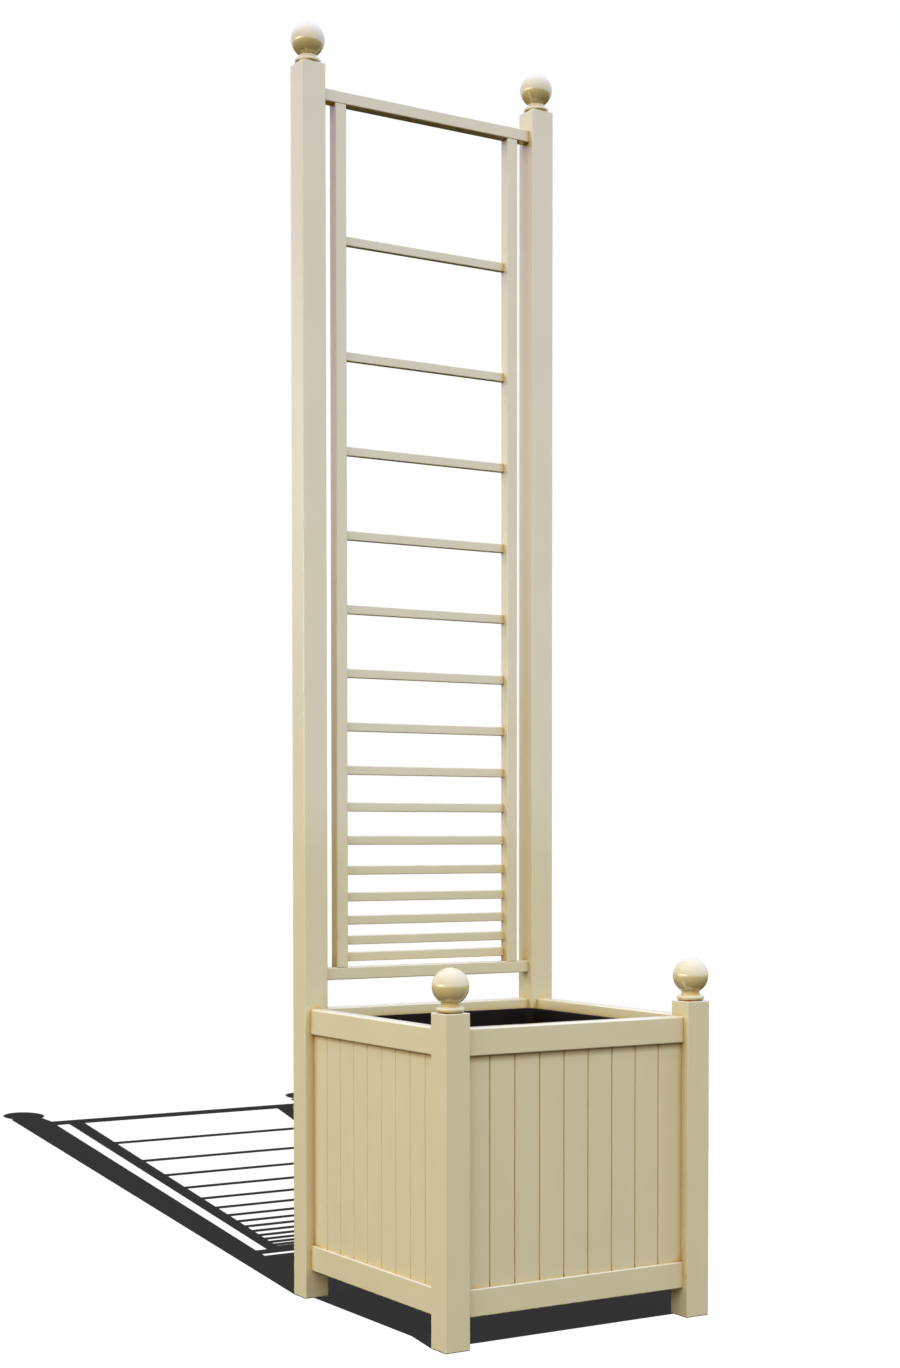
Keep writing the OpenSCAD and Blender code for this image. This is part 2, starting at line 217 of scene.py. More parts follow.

# Boards: nine tongued and V-jointed boards in each side, upright, housed in the grooves
# of rails and posts. Painted before and after assembly, so the V joints are painted too.
# Painted shade darkens them just under the top rails: brown in front and behind, golden at the sides.
rail_shade_brown, rail_shade_gold = ("#785606", 434), ("#a0761c", 437)
rail_shade_colours = {"front": rail_shade_brown, "right": rail_shade_gold, "back": rail_shade_brown, "left": rail_shade_gold}
rail_shade_share, rail_shade_top_mm = 0.85, 446


def painted_rail_shade(shade_colour, from_mm):
    """A function that paints shade into a paint colour, deepening it to that one from that height up to
    the top rails.
    """

    def rail_shaded(tree, place, colour):
        height = add_node(tree, "ShaderNodeSeparateXYZ", {0: place}).outputs["Z"]
        near = add_node(tree, "ShaderNodeMapRange",
                        {"Value": height, "From Min": from_mm * mm, "From Max": rail_shade_top_mm * mm,
                         "To Max": rail_shade_share})
        return add_node(tree, "ShaderNodeMix", {0: near.outputs[0], 6: colour, 7: linear(shade_colour)},
                        data_type="RGBA").outputs[2]

    return rail_shaded


for side, (shade_colour, from_mm) in rail_shade_colours.items():
    board_enamel = sprayed_enamel(f"cream enamel, {side} boards", 2, painted_rail_shade(shade_colour, from_mm))
    eased(side + "_boards", board_enamel, round_off=0.7)

# Trellis: two bars tenoned between the back posts, two stiles stubbed into the bars,
# and fifteen rungs stubbed into the stiles, all from the same planed and painted softwood.
for bar in ("top", "bottom"):
    eased(f"trellis_{bar}_bar", level_enamel["x"])
for hand in ("left", "right"):
    eased(f"trellis_{hand}_stile", upright_enamel)
for node in sorted(frame["nodes"]):
    if node.startswith("rung_"):
        eased(node, level_enamel["x"])

# Finials: balls on a short neck and a base bead, turned in one piece from hardwood.
# A turning is sanded on the lathe and takes a fuller coat, so it mirrors more than the posts.
ball_d, ball_rise = 57, 40
bead_d, bead_h = 44, 9.4
collar_d, collar_h = 30, 2.8
neck_d, cove_r = 28, 2.5
bore_d, bore_h = 8.3, 28.15
finial_steps, neck_shade_mm = 96, 8
full_cream, full_shade = "#d3c28c", "#ccba82"


def arc(centre, radius, start, end, steps):
    """Points along an arc in a turning's half section, as (out, up), in degrees from level."""
    turns = [math.radians(start + (end - start) * i / steps) for i in range(steps + 1)]
    return [(centre[0] + radius * math.cos(a), centre[1] + radius * math.sin(a)) for a in turns]


def turned(half_section, steps):
    """A bmesh of a turning about z, from its half section of (out, up) points in mm."""
    shape = bmesh.new()
    points = [shape.verts.new((out * mm, 0, up * mm)) for out, up in half_section]
    line = [shape.edges.new(pair) for pair in zip(points, points[1:])]
    bmesh.ops.spin(shape, geom=points + line, cent=(0, 0, 0), axis=(0, 0, 1),
                   angle=math.tau, steps=steps, use_merge=True)
    bmesh.ops.remove_doubles(shape, verts=shape.verts, dist=touching)
    bmesh.ops.recalc_face_normals(shape, faces=shape.faces)
    return shape


def turned_enamel():
    """The same cream on turned hardwood: a full, smooth coat with a mirror gloss.

    The eye gets a sharp picture of sky and ground, a little broken by faint lathe rings."""
    cloud_mm, ring_mm, ring_stretch = 30, 1.6, 50
    material, tree, output = new_material("cream enamel, turned")
    place = add_node(tree, "ShaderNodeTexCoord").outputs["Object"]
    cloud = add_node(tree, "ShaderNodeTexNoise", {"Vector": place, "Scale": 1 / (cloud_mm * mm)})
    tone = add_node(tree, "ShaderNodeMix",
                    {0: cloud.outputs[0], 6: linear(full_cream), 7: linear(full_shade)},
                    data_type="RGBA")
    dull = add_node(tree, "ShaderNodeMapRange",
                    {"Value": cloud.outputs[0], "To Min": 0.20, "To Max": 0.30})
    round_and_round = add_node(tree, "ShaderNodeMapping",
                               {"Vector": place, "Scale": (1 / ring_stretch, 1 / ring_stretch, 1.0)})
    rings = add_node(tree, "ShaderNodeTexNoise",
                     {"Vector": round_and_round.outputs[0], "Scale": 1 / (ring_mm * mm), "Detail": 1.0})
    cut = add_node(tree, "ShaderNodeBump",
                   {"Height": rings.outputs[0], "Strength": 0.1, "Distance": 0.01 * mm})
    # The base colour takes painted shade in the hollows of the neck and where the bead meets the post.
    film = add_node(tree, "ShaderNodeBsdfPrincipled",
                    {"Base Color": painted_corner_shade(tree, tone.outputs[2], neck_shade_mm),
                     "Roughness": dull.outputs[0],
                     "Normal": cut.outputs[0], "IOR": 1.5, "Coat Weight": 1.0,
                     "Coat Roughness": 0.02, "Coat IOR": 2.0, "Coat Normal": cut.outputs[0]})
    tree.links.new(film.outputs[0], output.inputs[0])
    return material


cove_x = neck_d / 2 + cove_r
cove_z = ball_rise - math.sqrt((ball_d / 2 + cove_r) ** 2 - cove_x**2)
ball_start = math.degrees(math.atan2(cove_z - ball_rise, cove_x))
finial_section = (
    [(0, bore_h), (bore_d / 2, bore_h), (bore_d / 2, 0)]
    + arc((bead_d / 2 - bead_h / 2, bead_h / 2), bead_h / 2, -90, 90, steps=14)
    + [(collar_d / 2, bead_h), (collar_d / 2, bead_h + collar_h), (neck_d / 2, bead_h + collar_h)]
    + arc((cove_x, cove_z), cove_r, 180, 180 + ball_start, steps=5)
    + arc((0, ball_rise), ball_d / 2, ball_start, 90, steps=40)[1:]
)
mirror_enamel = turned_enamel()
for corner in ("front_left", "front_right", "back_right", "back_left"):
    low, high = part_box(corner + "_finial")
    turning = turned(finial_section, finial_steps)
    bmesh.ops.translate(turning, verts=turning.verts,
                        vec=((low.x + high.x) / 2, (low.y + high.y) / 2, low.z))
    finish_piece("turned_" + corner + "_finial", turning, mirror_enamel,
                 corner + "_finial")

# Finial dowels: a steel dowel screw in each finial, half in the ball and half in the post.
# It has a coarse wood thread from each end and a plain middle, and is zinc plated.
plain_mid, thread_pitch, thread_depth = 6, 3.2, 1.15
dowel_tip, dowel_steps = 7, 32
zinc_bright, zinc_dull = "#c6c9cc", "#aeb0ae"


def zinc_plate():
    """Bright zinc plate on steel: a cool grey with a soft, slightly blotched shine.

    The eye gets small duller and brighter patches, from the tumbling barrel."""
    patch_mm, scuff_mm = 2.5, 0.35
    material, tree, output = new_material("bright zinc plate")
    place = add_node(tree, "ShaderNodeTexCoord").outputs["Object"]
    patch = add_node(tree, "ShaderNodeTexNoise",
                     {"Vector": place, "Scale": 1 / (patch_mm * mm), "Detail": 3.0})
    scuff = add_node(tree, "ShaderNodeTexNoise",
                     {"Vector": place, "Scale": 1 / (scuff_mm * mm), "Detail": 1.0})
    tone = add_node(tree, "ShaderNodeMix",
                    {0: patch.outputs[0], 6: linear(zinc_bright), 7: linear(zinc_dull)},
                    data_type="RGBA")
    shine = add_node(tree, "ShaderNodeMapRange",
                     {"Value": patch.outputs[0], "To Min": 0.22, "To Max": 0.45})
    dents = add_node(tree, "ShaderNodeBump",
                     {"Height": scuff.outputs[0], "Strength": 0.25, "Distance": 0.02 * mm})
    plate = add_node(tree, "ShaderNodeBsdfPrincipled",
                     {"Base Color": tone.outputs[2], "Metallic": 1.0,
                      "Roughness": shine.outputs[0], "Normal": dents.outputs[0]})
    tree.links.new(plate.outputs[0], output.inputs[0])
    return material


def wood_thread(radius, depth, pitch, foot, top, tip):
    """A bmesh of a right-hand wood thread about z, from foot up to top, pointed at the foot.

    One pitch of its outline is spun up a helix, then both ends are cut level and closed.
    The wave is that outline: how far out of the root, and how far up as a share of the pitch."""
    steps, point_share = 16, 0.06
    turns = math.ceil((top - foot) / pitch) + 2
    wave = [(0, 0), (0, 0.28), (depth, 0.46), (depth, 0.54), (0, 0.72), (0, 1)]
    shape = bmesh.new()
    points = [
        shape.verts.new(((radius - depth + out) * mm, 0, (foot + (up - 1) * pitch) * mm))
        for out, up in wave
    ]
    line = [shape.edges.new(pair) for pair in zip(points, points[1:])]
    bmesh.ops.spin(shape, geom=points + line, cent=(0, 0, 0), axis=(0, 0, 1),
                   dvec=(0, 0, pitch / steps * mm), angle=math.tau * turns,
                   steps=steps * turns, use_merge=False)
    bmesh.ops.remove_doubles(shape, verts=shape.verts, dist=touching)
    for height, upper in ((foot, False), (top, True)):
        everything = shape.verts[:] + shape.edges[:] + shape.faces[:]
        cut = bmesh.ops.bisect_plane(shape, geom=everything, dist=touching / 10,
                                     plane_co=(0, 0, height * mm), plane_no=(0, 0, 1),
                                     clear_inner=not upper, clear_outer=upper)
        rim = [part for part in cut["geom_cut"] if isinstance(part, bmesh.types.BMEdge)]
        bmesh.ops.edgeloop_fill(shape, edges=rim)
    for vert in shape.verts:
        rise = (vert.co.z / mm - foot) / tip
        if rise < 1:
            slim = point_share + (1 - point_share) * math.sqrt(max(rise, 0))
            vert.co.x *= slim
            vert.co.y *= slim
    bmesh.ops.recalc_face_normals(shape, faces=shape.faces)
    return shape


def solids(node):
    """The lowest and highest corners of each separate solid in a node."""
    shape = merged_copy(node)
    unvisited = set(shape.verts)
    boxes = []
    while unvisited:
        reached = [unvisited.pop()]
        places = []
        while reached:
            vert = reached.pop()
            places.append(vert.co.copy())
            for link in vert.link_edges:
                other = link.other_vert(vert)
                if other in unvisited:
                    unvisited.remove(other)
                    reached.append(other)
        boxes.append((Vector([min(place[i] for place in places) for i in range(3)]),
                      Vector([max(place[i] for place in places) for i in range(3)])))
    shape.free()
    return sorted(boxes, key=lambda box: tuple(round(v / mm) for v in box[0]))


def add_shape(whole, part, matrix):
    """Adds a moved copy of one bmesh to another."""
    mesh = bpy.data.meshes.new("part")
    part.to_mesh(mesh)
    mesh.transform(matrix)
    whole.from_mesh(mesh)
    bpy.data.meshes.remove(mesh)


zinc = zinc_plate()
dowels = bmesh.new()
for low, high in solids("finial_dowels"):
    radius = (high.x - low.x) / 2 / mm
    half = (high.z - low.z) / 2 / mm
    root = radius - thread_depth
    thread = wood_thread(radius, thread_depth, thread_pitch, -half, -plain_mid / 2, dowel_tip)
    middle = turned([(0, -plain_mid / 2), (root, -plain_mid / 2), (root, plain_mid / 2),
                     (0, plain_mid / 2)], dowel_steps)
    centre = Matrix.Translation((low + high) / 2)
    add_shape(dowels, middle, centre)
    add_shape(dowels, thread, centre)
    add_shape(dowels, thread, centre @ Matrix.Rotation(math.pi, 4, "X"))
    thread.free()
    middle.free()
finish_piece("threaded_finial_dowels", dowels, zinc, "finial_dowels")

# Bearers: two planed softwood bearers, left bare, screwed along the inside of the front
# and back bottom rails to carry the floor slats.
pale_wood, late_wood, fibre_wood = "#d9bd90", "#b98c56", "#c6a476"
bearer_piths = {"front": (0, -265, 20), "back": (0, 262, 118)}


def bare_softwood(name, along, pith):
    """Bare planed softwood, its grain along that axis, its pith through that point in mm.

    The eye gets growth rings about 3.5 mm apart, pale to amber with a crisp outer edge,
    wandering slowly along the board, over fine fibres that catch the light. The fibres
    are drawn coarser than real, so that they show."""
    ring_mm, wander_mm, fibre_mm, wander_rings = 3.5, 60, 0.5, 5.0
    ring_draw, wander_draw, fibre_draw = [1.0, 1.0, 1.0], [1.0, 1.0, 1.0], [1.0, 1.0, 1.0]
    ring_draw[along], wander_draw[along], fibre_draw[along] = 0.015, 0.15, 0.025
    material, tree, output = new_material(name)
    place = add_node(tree, "ShaderNodeTexCoord").outputs["Object"]
    offset = [-centre * mm * draw for centre, draw in zip(pith, ring_draw)]
    section = add_node(tree, "ShaderNodeMapping",
                       {"Vector": place, "Location": offset, "Scale": ring_draw})
    slow = add_node(tree, "ShaderNodeMapping", {"Vector": place, "Scale": wander_draw})
    wander = add_node(tree, "ShaderNodeTexNoise",
                      {"Vector": slow.outputs[0], "Scale": 1 / (wander_mm * mm), "Detail": 2.0})
    reach = add_node(tree, "ShaderNodeVectorMath", {0: section.outputs[0]}, operation="LENGTH")
    rings = add_node(tree, "ShaderNodeMath",
                     {0: reach.outputs["Value"], 1: 1 / (ring_mm * mm)}, operation="MULTIPLY")
    bent = add_node(tree, "ShaderNodeMath",
                    {0: wander.outputs[0], 1: wander_rings, 2: rings.outputs[0]},
                    operation="MULTIPLY_ADD")
    ring = add_node(tree, "ShaderNodeMath", {0: bent.outputs[0]}, operation="FRACT")
    late = add_node(tree, "ShaderNodeMapRange",
                    {"Value": ring.outputs[0], "From Min": 0.35, "From Max": 0.97},
                    interpolation_type="SMOOTHSTEP")
    drawn = add_node(tree, "ShaderNodeMapping", {"Vector": place, "Scale": fibre_draw})
    fibre = add_node(tree, "ShaderNodeTexNoise",
                     {"Vector": drawn.outputs[0], "Scale": 1 / (fibre_mm * mm), "Detail": 2.0})
    grain = add_node(tree, "ShaderNodeMix",
                     {0: late.outputs[0], 6: linear(pale_wood), 7: linear(late_wood)},
                     data_type="RGBA")
    streak = add_node(tree, "ShaderNodeMapRange",
                      {"Value": fibre.outputs[0], "From Min": 0.35, "From Max": 0.75, "To Max": 0.45})
    tone = add_node(tree, "ShaderNodeMix",
                    {0: streak.outputs[0], 6: grain.outputs[2], 7: linear(fibre_wood)},
                    data_type="RGBA")
    dull = add_node(tree, "ShaderNodeMapRange",
                    {"Value": late.outputs[0], "To Min": 0.72, "To Max": 0.55})
    proud = add_node(tree, "ShaderNodeBump",
                     {"Height": late.outputs[0], "Strength": 0.4, "Distance": 0.08 * mm})
    furry = add_node(tree, "ShaderNodeBump",
                     {"Height": fibre.outputs[0], "Normal": proud.outputs[0], "Strength": 0.5,
                      "Distance": 0.05 * mm})
    wood = add_node(tree, "ShaderNodeBsdfPrincipled",
                    {"Base Color": tone.outputs[2], "Roughness": dull.outputs[0],
                     "Normal": furry.outputs[0], "IOR": 1.45})
    tree.links.new(wood.outputs[0], output.inputs[0])
    return material


for side, pith in bearer_piths.items():
    wood = bare_softwood(f"bare softwood, {side} bearer", 0, pith)
    eased(side + "_bearer", wood, round_off=0.8, turn=(80, 100))

# Floor slats: five planed softwood slats across the bearers, left bare, two screws at each
# end. Each is cut from its own board, so its rings lie about another centre.
slat_piths = ((-220, 0, 30), (-60, 0, 150), (22, 0, 25), (110, 0, -20), (140, 0, 140))
for slat, pith in enumerate(slat_piths, 1):
    eased(f"floor_slat_{slat}", bare_softwood(f"bare softwood, slat {slat}", 1, pith))

# Screws: zinc-plated pan-head wood screws with a cross recess, three through each bearer
# and four through each slat, set just below the face of the slats, each driven to its own turn.
head_h, head_round, head_ease = 2.4, 1.3, 0.3
recess_reach, recess_wing, recess_deep, recess_taper = 2.2, 0.55, 1.5, 0.6
shank_r, shank_slack, plain_share = 2.0, 0.1, 0.3
screw_pitch, screw_depth, screw_tip = 1.8, 0.6, 5
screw_steps, recess_turn = 24, 0.65
level_within = 0.01 * mm


def pan_head_screw(radius, length, head_r):
    """A bmesh of one screw that points down, the underside of its head at z = 0."""
    plain = plain_share * length
    shank = radius - shank_slack
    screw = turned(
        [(0, -plain), (shank, -plain), (shank, 0), (head_r - head_ease, 0), (head_r, head_ease)]
        + arc((head_r - head_round, head_h - head_round), head_round, 0, 90, steps=6),
        screw_steps,
    )
    bed = (head_h - recess_deep) * mm
    grid = bmesh.ops.create_grid(screw, x_segments=3, y_segments=3, size=recess_reach * mm,
                                 matrix=Matrix.Translation((0, 0, bed)))["verts"]
    for vert in grid:
        for axis in (0, 1):
            if abs(vert.co[axis]) < recess_reach * mm / 2:
                vert.co[axis] = math.copysign(recess_wing * mm, vert.co[axis])
    squares = {face for vert in grid for face in vert.link_faces}
    corners = []
    for square in squares:
        centre = square.calc_center_median()
        if min(abs(centre.x), abs(centre.y)) > recess_wing * mm:
            corners.append(square)
    bmesh.ops.delete(screw, geom=corners, context="FACES")
    bed_edges = {edge for face in screw.faces for edge in face.edges
                 if edge.is_boundary and all(abs(v.co.z - bed) < level_within for v in edge.verts)}
    wall = bmesh.ops.extrude_edge_only(screw, edges=list(bed_edges))["geom"]
    for vert in {v for edge in bed_edges for v in edge.verts}:
        vert.co.x *= recess_taper
        vert.co.y *= recess_taper
    for vert in wall:
        if isinstance(vert, bmesh.types.BMVert):
            vert.co.z = head_h * mm
    mouth = [edge for edge in screw.edges if edge.is_boundary]
    bmesh.ops.triangle_fill(screw, use_beauty=True, edges=mouth)
    bmesh.ops.recalc_face_normals(screw, faces=screw.faces)
    thread = wood_thread(radius, screw_depth, screw_pitch, -length, -plain, screw_tip)
    add_shape(screw, thread, Matrix.Identity(4))
    thread.free()
    return screw


for node, across in (("bearer_screws", 1), ("slat_screws", 2)):
    screws = bmesh.new()
    for index, (low, high) in enumerate(solids(node)):
        middle = (low + high) / 2
        head_r = (high.x - low.x) / 2 / mm
        if across == 1:
            inward = -math.copysign(1, middle.y)
            face_y = high.y if inward > 0 else low.y
            seat = Vector((middle.x, face_y - inward * head_h * mm, middle.z))
            aim = Matrix.Rotation(math.radians(-90 * inward), 4, "X")
        else:
            seat = Vector((middle.x, middle.y, high.z - head_h * mm))
            aim = Matrix.Identity(4)
        length = (high - low)[across] / mm - head_h
        screw = pan_head_screw(shank_r, length, head_r)
        driven = Matrix.Rotation(index * recess_turn, 4, "Z")
        add_shape(screws, screw, Matrix.Translation(seat) @ aim @ driven)
        screw.free()
    finish_piece("threaded_" + node, screws, zinc, node)

# Liner: a tub moulded in black polypropylene, drafted so that it leaves its mould, with
# rounded corners, a rolled rim that is lifted by hand, and five drain holes in its floor.
tub_low, tub_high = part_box("planter_liner")
rim_half = (tub_high.x - tub_low.x) / 2 / mm
tub_foot, tub_top = tub_low.z / mm, tub_high.z / mm
rim_out, rim_tall, wall, draft = 3.6, 7, 3, 6
wall_corner, foot_round, rim_round, lip_round = 18.4, 5, 1.6, 1.2
drain_radius, drain_place, drain_flare = 6, 103.4, 0.8
tub_corner_steps, drain_steps = 10, 32
tub_black, tub_black_pale = "#0f0b07", "#15100a"


def moulded_black():
    """Black polypropylene from a spark-eroded mould: a fine even texture with a low sheen.

    The eye gets a soft, warm black. The grit is drawn coarser than real, so that it shows."""
    grit_mm, flow_mm = 0.5, 70
    material, tree, output = new_material("moulded black polypropylene")
    place = add_node(tree, "ShaderNodeTexCoord").outputs["Object"]
    grit = add_node(tree, "ShaderNodeTexNoise",
                    {"Vector": place, "Scale": 1 / (grit_mm * mm), "Detail": 2.0})
    flow = add_node(tree, "ShaderNodeTexNoise",
                    {"Vector": place, "Scale": 1 / (flow_mm * mm), "Detail": 3.0})
    tone = add_node(tree, "ShaderNodeMix",
                    {0: flow.outputs[0], 6: linear(tub_black), 7: linear(tub_black_pale)},
                    data_type="RGBA")
    dull = add_node(tree, "ShaderNodeMapRange",
                    {"Value": flow.outputs[0], "To Min": 0.48, "To Max": 0.62})
    texture = add_node(tree, "ShaderNodeBump",
                       {"Height": grit.outputs[0], "Strength": 0.5, "Distance": 0.04 * mm})
    plastic = add_node(tree, "ShaderNodeBsdfPrincipled",
                       {"Base Color": tone.outputs[2], "Roughness": dull.outputs[0],
                        "Normal": texture.outputs[0], "IOR": 1.49,
                        "Specular IOR Level": 0.2, "Specular Tint": (1.0, 0.8, 0.55, 1.0)})
    tree.links.new(plastic.outputs[0], output.inputs[0])
    return material


def next_level(shape, loop, old, new):
    """Extrudes a rounded square, given by half side, height and corner radius, into a new one."""
    old_half, _, old_corner = old
    new_half, new_height, new_corner = new
    made = bmesh.ops.extrude_edge_only(shape, edges=loop)["geom"]
    made_verts = {part for part in made if isinstance(part, bmesh.types.BMVert)}
    for vert in made_verts:
        for axis in (0, 1):
            past_corner = (abs(vert.co[axis]) / mm - (old_half - old_corner)) / old_corner
            reach = new_half - new_corner + past_corner * new_corner
            vert.co[axis] = math.copysign(reach * mm, vert.co[axis])
        vert.co.z = new_height * mm
    return [edge for edge in shape.edges if made_verts.issuperset(edge.verts)]


outer_half = rim_half - rim_out
foot_half = outer_half - draft
outer_foot = arc((foot_half - foot_round, tub_foot + foot_round), foot_round, -90, 0, steps=6)
rim = (
    [(outer_half, tub_top - rim_tall)]
    + arc((rim_half - lip_round, tub_top - rim_tall + lip_round), lip_round, -90, 0, steps=4)
    + arc((rim_half - rim_round, tub_top - rim_round), rim_round, 0, 90, steps=5)
    + arc((outer_half - wall + rim_round, tub_top - rim_round), rim_round, 90, 180, steps=5)
)
inner_foot = arc((foot_half - wall - foot_round, tub_foot + wall + foot_round), foot_round,
                 0, -90, steps=6)
tub_profile = [
    (half, height, wall_corner + half - wall_half)
    for wall_half, points in ((foot_half, outer_foot), (outer_half, rim), (foot_half, inner_foot))
    for half, height in points
]
tub = bmesh.new()
start_half, start_height, start_corner = tub_profile[0]
sheet = bmesh.ops.create_grid(tub, x_segments=1, y_segments=1, size=start_half * mm,
                              matrix=Matrix.Translation((0, 0, start_height * mm)))
bmesh.ops.bevel(tub, geom=sheet["verts"], offset=start_corner * mm, offset_type="OFFSET",
                segments=tub_corner_steps, profile=0.5, affect="VERTICES", clamp_overlap=True,
                material=-1)
loop = tub.edges[:]
bmesh.ops.delete(tub, geom=tub.faces[:], context="FACES_ONLY")
for old, new in zip(tub_profile, tub_profile[1:]):
    loop = next_level(tub, loop, old, new)
drains = [(0, 0)] + [(x * drain_place, y * drain_place) for x in (-1, 1) for y in (-1, 1)]
for x, y in drains:
    rings = []
    for height, radius in ((0, drain_radius), (wall - drain_flare, drain_radius),
                           (wall, drain_radius + drain_flare)):
        centre = Matrix.Translation((x * mm, y * mm, (tub_foot + height) * mm))
        ring = bmesh.ops.create_circle(tub, cap_ends=False, segments=drain_steps,
                                       radius=radius * mm, matrix=centre)
        rings.append(list({edge for vert in ring["verts"] for edge in vert.link_edges}))
    for below, above in zip(rings, rings[1:]):
        bmesh.ops.bridge_loops(tub, edges=below + above)
for height in (tub_foot, tub_foot + wall):
    open_edges = [edge for edge in tub.edges if edge.is_boundary
                  and all(abs(vert.co.z - height * mm) < level_within for vert in edge.verts)]
    bmesh.ops.triangle_fill(tub, use_beauty=True, edges=open_edges)
bmesh.ops.recalc_face_normals(tub, faces=tub.faces)
finish_piece("moulded_liner", tub, moulded_black(), "planter_liner")

# Floor: a level ground that the object stands on. A small lamp of its own lights it to an
# even white, and where the object shades it, it shows a dark grey glow of its own. It throws no
# light back on the object, and the lamp lights nothing else. Its sizes and places are in metres.
ground_glow = "#323232"
floor_radius, floor_steps = 6.0, 128
lamp_place, lamp_radius, lamp_power = (-0.664, -2.486, 4.400), 0.002, 20000.0
sunlit = (0.002, 0.002, 0.002, 1.0)
material, tree, output = new_material("matt ground")
own_glow = add_node(tree, "ShaderNodeEmission", {"Color": linear(ground_glow)})
matt = add_node(tree, "ShaderNodeBsdfDiffuse", {"Color": sunlit})
both = add_node(tree, "ShaderNodeAddShader", {0: own_glow.outputs[0], 1: matt.outputs[0]})
tree.links.new(both.outputs[0], output.inputs[0])
material.cycles.emission_sampling = "NONE"
shape = bmesh.new()
bmesh.ops.create_circle(shape, cap_ends=True, segments=floor_steps, radius=floor_radius)
mesh = bpy.data.meshes.new("ground")
shape.to_mesh(mesh)
shape.free()
mesh.materials.append(material)
floor = bpy.data.objects.new("ground", mesh)
bpy.context.scene.collection.objects.link(floor)
floor.visible_diffuse = False
floor.visible_glossy = False
floor.visible_shadow = False
lamplit = bpy.data.collections.new("lamplit")
lamplit.objects.link(floor)
lamp = bpy.data.objects.new("floor_lamp", bpy.data.lights.new("floor_lamp", "POINT"))
lamp.location = lamp_place
lamp.data.shadow_soft_size = lamp_radius
lamp.data.energy = lamp_power
lamp.data.use_nodes = True
tree = lamp.data.node_tree
tree.nodes.clear()
place = add_node(tree, "ShaderNodeTexCoord")
way = add_node(tree, "ShaderNodeSeparateXYZ", {0: place.outputs["Normal"]})
slope = add_node(tree, "ShaderNodeMath", {0: way.outputs["Z"]}, operation="ABSOLUTE")
fall = add_node(tree, "ShaderNodeLightFalloff", {"Strength": 1.0})
even = add_node(tree, "ShaderNodeMath", {0: fall.outputs["Constant"], 1: slope.outputs[0]},
                operation="DIVIDE")
glow = add_node(tree, "ShaderNodeEmission", {"Strength": even.outputs[0]})
add_node(tree, "ShaderNodeOutputLight", {0: glow.outputs[0]})
lamp.light_linking.receiver_collection = lamplit
bpy.context.scene.collection.objects.link(lamp)

# Light: a hazy open sky over dark earth lights the object, warm and strong from the left, plain
# in front, cooler on the right, dim at the horizon and blue overhead. The gloss mirrors a
# calmer sky, with a glow on the left and a dull ground, and the camera sees plain white.
left_sky, right_sky = (4.82, 4.13, 2.92), (1.4, 1.6, 1.76)
front_sky, back_sky = (2.07, 1.7, 1.25), (1.85, 1.58, 1.25)
zenith_sky, earth = (1.67, 2.1, 2.7), (0.05, 0.037, 0.018)
horizon_sky, horizon_height = (0.2, 0.14, 0.06), 0.4
mirrored_front, mirrored_back = (1.05, 1.2, 1.48), (0.76, 0.73, 0.62)
mirrored_dim, mirrored_haze = (0.55, 0.53, 0.5), (1.2, 1.15, 1.1)
mirrored_zenith = (0.85, 1.05, 2.4)
mirrored_ground, mirrored_earth = (0.42, 0.37, 0.23), (0.05, 0.03, 0.0)
dim_from, dim_to, haze_height, haze_spread, ground_fade = -0.4, -1.3, 0.18, 0.15, -0.22
behind_from, behind_to = -0.3, 0.5
glow, glow_way, glow_flat, glow_reach = (6.0, 5.2, 3.9), (-0.99, 0.06, 0.08), 5.5, 0.75
white = (1.0, 1.0, 1.0)
above_zero = 0.00001
world = bpy.data.worlds.new("open sky")
bpy.context.scene.world = world
world.use_nodes = True
world.cycles.sampling_method = "NONE"
tree = world.node_tree
tree.nodes.clear()


def blend(share, first, second):
    """A colour that goes from the first to the second as the share goes from 0 to 1."""
    pair = [colour if isinstance(colour, bpy.types.NodeSocket) else (*colour, 1)
            for colour in (first, second)]
    return add_node(tree, "ShaderNodeMix", {0: share, 6: pair[0], 7: pair[1]},
                    data_type="RGBA").outputs[2]


def sum_up(operation, first, second=0.0):
    """The result of one Math node."""
    return add_node(tree, "ShaderNodeMath", {0: first, 1: second}, operation=operation).outputs[0]


direction = add_node(tree, "ShaderNodeTexCoord").outputs["Generated"]
way = add_node(tree, "ShaderNodeSeparateXYZ", {0: direction})
x, y, z = way.outputs["X"], way.outputs["Y"], way.outputs["Z"]
# The level part of the direction, squared, which stays above zero straight overhead.
level_square = sum_up("SUBTRACT", 1 + above_zero, sum_up("MULTIPLY", z, z))
facing = sum_up("DIVIDE", sum_up("MULTIPLY", y, y), level_square)
sides = blend(sum_up("GREATER_THAN", x), left_sky, right_sky)
ends = blend(sum_up("GREATER_THAN", y), front_sky, back_sky)
low_sky = blend(facing, sides, ends)
risen = add_node(tree, "ShaderNodeMapRange", {"Value": z, "From Max": horizon_height}).outputs[0]
low_sky = blend(risen, horizon_sky, low_sky)
above = sum_up("GREATER_THAN", z)
lighting = blend(above, earth, blend(sum_up("MAXIMUM", z), low_sky, zenith_sky))
to_the_right = sum_up("SUBTRACT", x, y)
turn = add_node(tree, "ShaderNodeMapRange",
                {"Value": to_the_right, "From Min": dim_from, "From Max": dim_to}).outputs[0]
off_haze = sum_up("ABSOLUTE", sum_up("SUBTRACT", z, haze_height))
haze = add_node(tree, "ShaderNodeMapRange",
                {"Value": off_haze, "From Min": haze_spread, "From Max": 0.0},
                interpolation_type="SMOOTHSTEP").outputs[0]
behind = add_node(tree, "ShaderNodeMapRange",
                  {"Value": y, "From Min": behind_from, "From Max": behind_to}).outputs[0]
mirrored_low = blend(turn, blend(behind, mirrored_front, mirrored_back),
                     blend(haze, mirrored_dim, mirrored_haze))
mirrored = blend(sum_up("MAXIMUM", z), mirrored_low, mirrored_zenith)
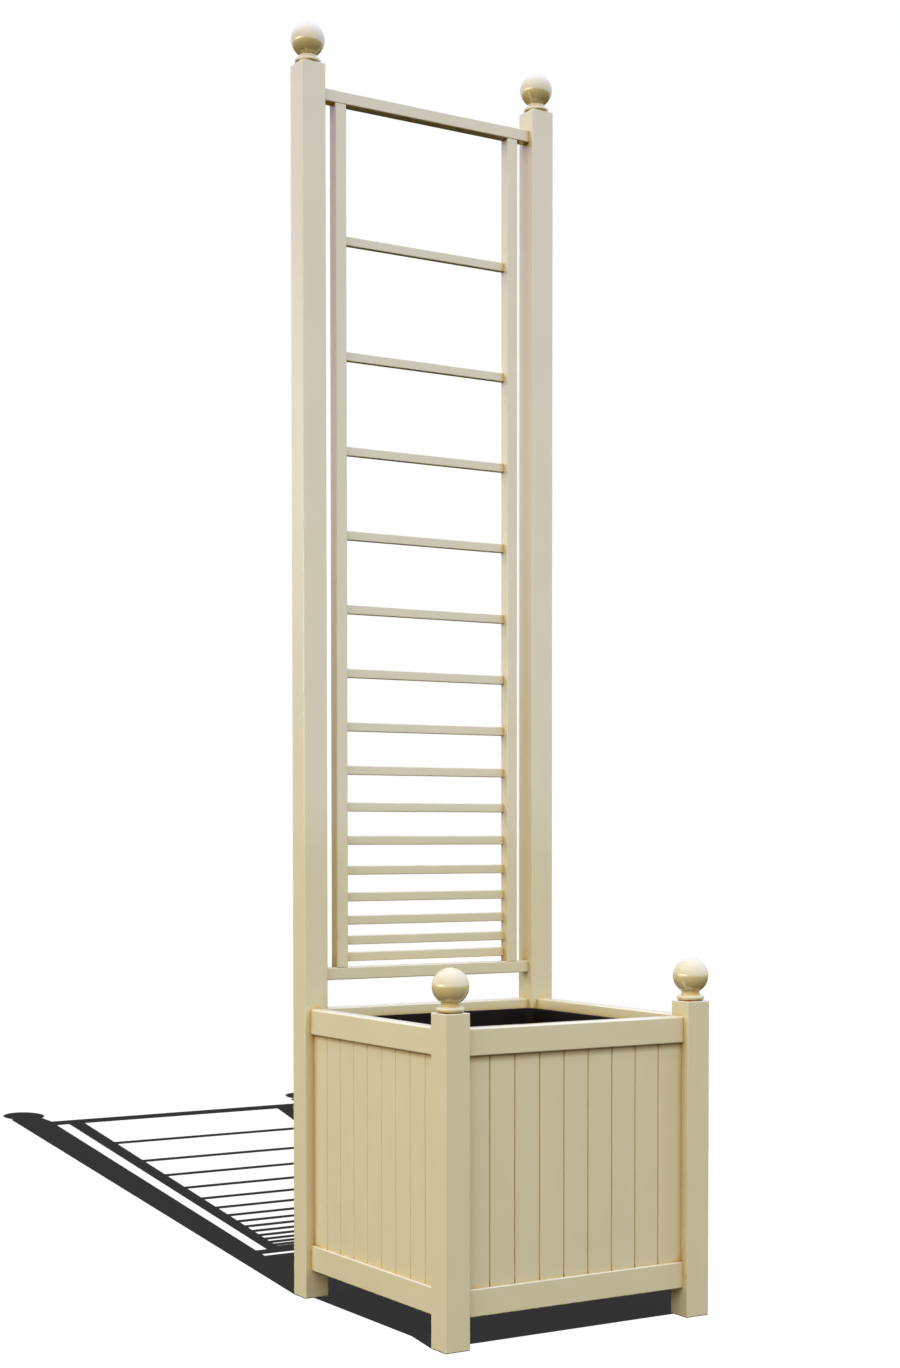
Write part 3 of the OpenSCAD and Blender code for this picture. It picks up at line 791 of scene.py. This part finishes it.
from_glow = add_node(tree, "ShaderNodeVectorMath", {0: direction, 1: glow_way},
                     operation="SUBTRACT")
flattened = add_node(tree, "ShaderNodeVectorMath", {0: from_glow.outputs[0], 1: (1, 1, glow_flat)},
                     operation="MULTIPLY")
off_glow = add_node(tree, "ShaderNodeVectorMath", {0: flattened.outputs[0]}, operation="LENGTH")
near_glow = add_node(tree, "ShaderNodeMapRange",
                     {"Value": off_glow.outputs["Value"], "From Min": glow_reach, "From Max": 0.0},
                     interpolation_type="SMOOTHSTEP")
mirrored = blend(near_glow.outputs[0], mirrored, glow)
away = add_node(tree, "ShaderNodeMapRange", {"Value": z, "From Min": 0.0, "From Max": ground_fade},
                interpolation_type="SMOOTHSTEP").outputs[0]
mirrored = blend(above, blend(away, mirrored_ground, mirrored_earth), mirrored)
ray = add_node(tree, "ShaderNodeLightPath").outputs
seen = sum_up("MAXIMUM", ray["Is Camera Ray"], ray["Is Transmission Ray"])
colour = blend(seen, blend(ray["Is Glossy Ray"], lighting, mirrored), white)
sky = add_node(tree, "ShaderNodeBackground", {"Color": colour})
add_node(tree, "ShaderNodeOutputWorld", {0: sky.outputs[0]})

# Camera: at the photograph's viewing angle. The eye in metres, its heading and tilt in degrees,
# its lens and its axis come from the photograph's perspective, in its 900 by 1368 pixels.
eye = (-1.90255, -2.9858, 0.78159)
heading, tilt_down = 32.25, 1.96
picture_w, picture_h = 900, 1368
axis_px, focal_px = (487.13, 908.06), 2140.3
sensor_mm, sight_m = 36, 200
camera = bpy.data.objects.new("camera", bpy.data.cameras.new("camera"))
camera.location = eye
camera.rotation_euler = (math.radians(90 - tilt_down), 0, math.radians(-heading))
camera.data.sensor_width = sensor_mm
camera.data.lens = focal_px / picture_h * sensor_mm
camera.data.shift_x = (picture_w / 2 - axis_px[0]) / picture_h
camera.data.shift_y = (axis_px[1] - picture_h / 2) / picture_h
camera.data.clip_end = sight_m
bpy.context.scene.collection.objects.link(camera)
bpy.context.scene.camera = camera

bpy.context.scene.view_settings.view_transform = "Standard"
